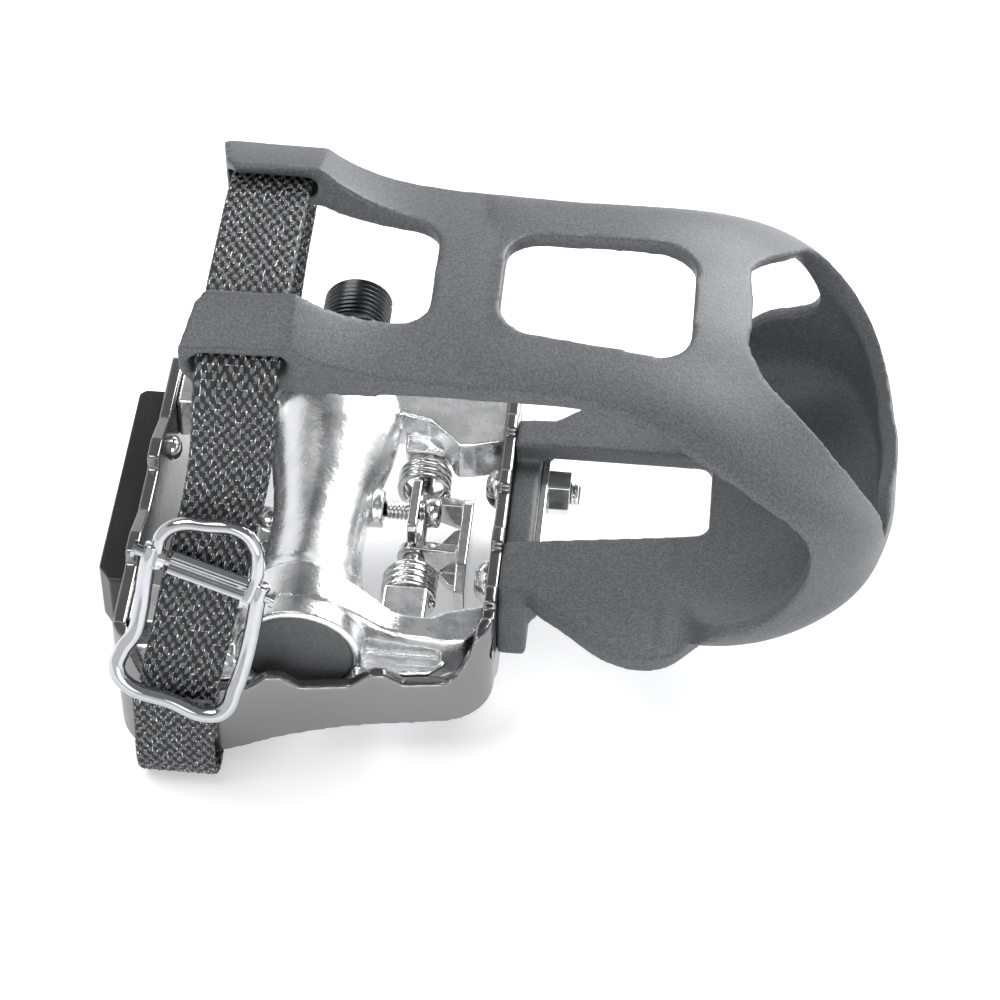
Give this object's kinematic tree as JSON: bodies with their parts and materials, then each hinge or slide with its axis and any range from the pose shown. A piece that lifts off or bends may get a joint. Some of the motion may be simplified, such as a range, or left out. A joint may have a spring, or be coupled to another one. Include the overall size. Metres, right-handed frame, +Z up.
{
  "type": "bicycle pedal",
  "caption": "Right-hand bicycle pedal: cast body in a black toothed cage, dark plastic toe clip with strap and chrome buckle, clipless claws below, 9/16 in axle",
  "frame": {"origin": "On the axle, at the shoulder that seats on the crank arm", "axes": "+X to the toe, +Y inboard along the axle to the crank, +Z up out of the toe clip's side"},
  "size_m": [0.1515, 0.1169, 0.1],
  "materials": {
    "cast": "polished casting",
    "black_steel": "black gloss",
    "steel": "bright plated",
    "dark_steel": "dark hardened",
    "bearing_chrome": "ground",
    "chrome": "chrome plated",
    "clip_plastic": "fine grain",
    "black_plastic": "satin",
    "reflector": "amber prismatic",
    "seal_rubber": "matt",
    "webbing": "woven nylon"
  },
  "bodies": {
    "pedal": {"body": "cast", "cage": "black_steel", "cage_screws": "steel", "toe_clip": "clip_plastic", "clip_bolts": "steel", "clip_nuts": "steel", "clip_backing_plate": "steel", "reflector_housing": "black_plastic", "reflector_lens": "reflector", "reflector_screws": "steel", "spindle_seal": "seal_rubber", "inner_cup": "dark_steel", "inner_balls": "bearing_chrome", "outer_cup": "dark_steel", "outer_balls": "bearing_chrome", "dust_cap": "black_plastic", "strap": "webbing", "buckle_frame": "chrome", "buckle_pin": "chrome", "buckle_spring": "steel", "binding_pin": "steel", "binding_springs": "steel", "fixed_claw": "steel", "fixed_claw_screws": "steel"},
    "axle": {"spindle": "dark_steel", "outer_cone": "dark_steel", "lock_washer": "dark_steel", "locknut": "dark_steel"},
    "claw": {"binding_claw": "steel"},
    "lever": {"buckle_lever": "chrome"},
    "roller": {"buckle_roller": "chrome"},
    "tensioner": {"tension_screw": "dark_steel"},
    "tension_slide": {"tension_plate": "steel"}
  },
  "joints": [
    {"name": "axle_spin", "type": "hinge", "parent": "pedal", "child": "axle", "pos_m": [0, 0, 0], "axis": [0, 1, 0], "continuous": true},
    {"name": "claw_hinge", "type": "hinge", "parent": "pedal", "child": "claw", "pos_m": [0.0185, -0.047, -0.008], "axis": [0, -1, 0], "range_deg": [0, 14], "stiffness_Nm_per_rad": 1.5},
    {"name": "lever_hinge", "type": "hinge", "parent": "pedal", "child": "lever", "pos_m": [-0.01526, -0.09018, 0.02877], "axis": [0.9563, -0.1395, -0.257], "range_deg": [0, 60], "stiffness_Nm_per_rad": 0.02},
    {"name": "roller_spin", "type": "hinge", "parent": "pedal", "child": "roller", "pos_m": [-0.01526, -0.09018, 0.02877], "axis": [0.9563, -0.1395, -0.257], "continuous": true},
    {"name": "tension_turn", "type": "hinge", "parent": "pedal", "child": "tensioner", "pos_m": [0.012, -0.044, -0.0013], "axis": [1, 0, 0], "range_deg": [0, 360]},
    {"name": "tension_travel", "type": "slide", "parent": "pedal", "child": "tension_slide", "axis": [1, 0, 0], "range_m": [0, 0.0008]}
  ],
  "couplings": [
    {"joint": "tension_travel", "follows": "tension_turn", "m_per_rad": 0.00012732}
  ]
}
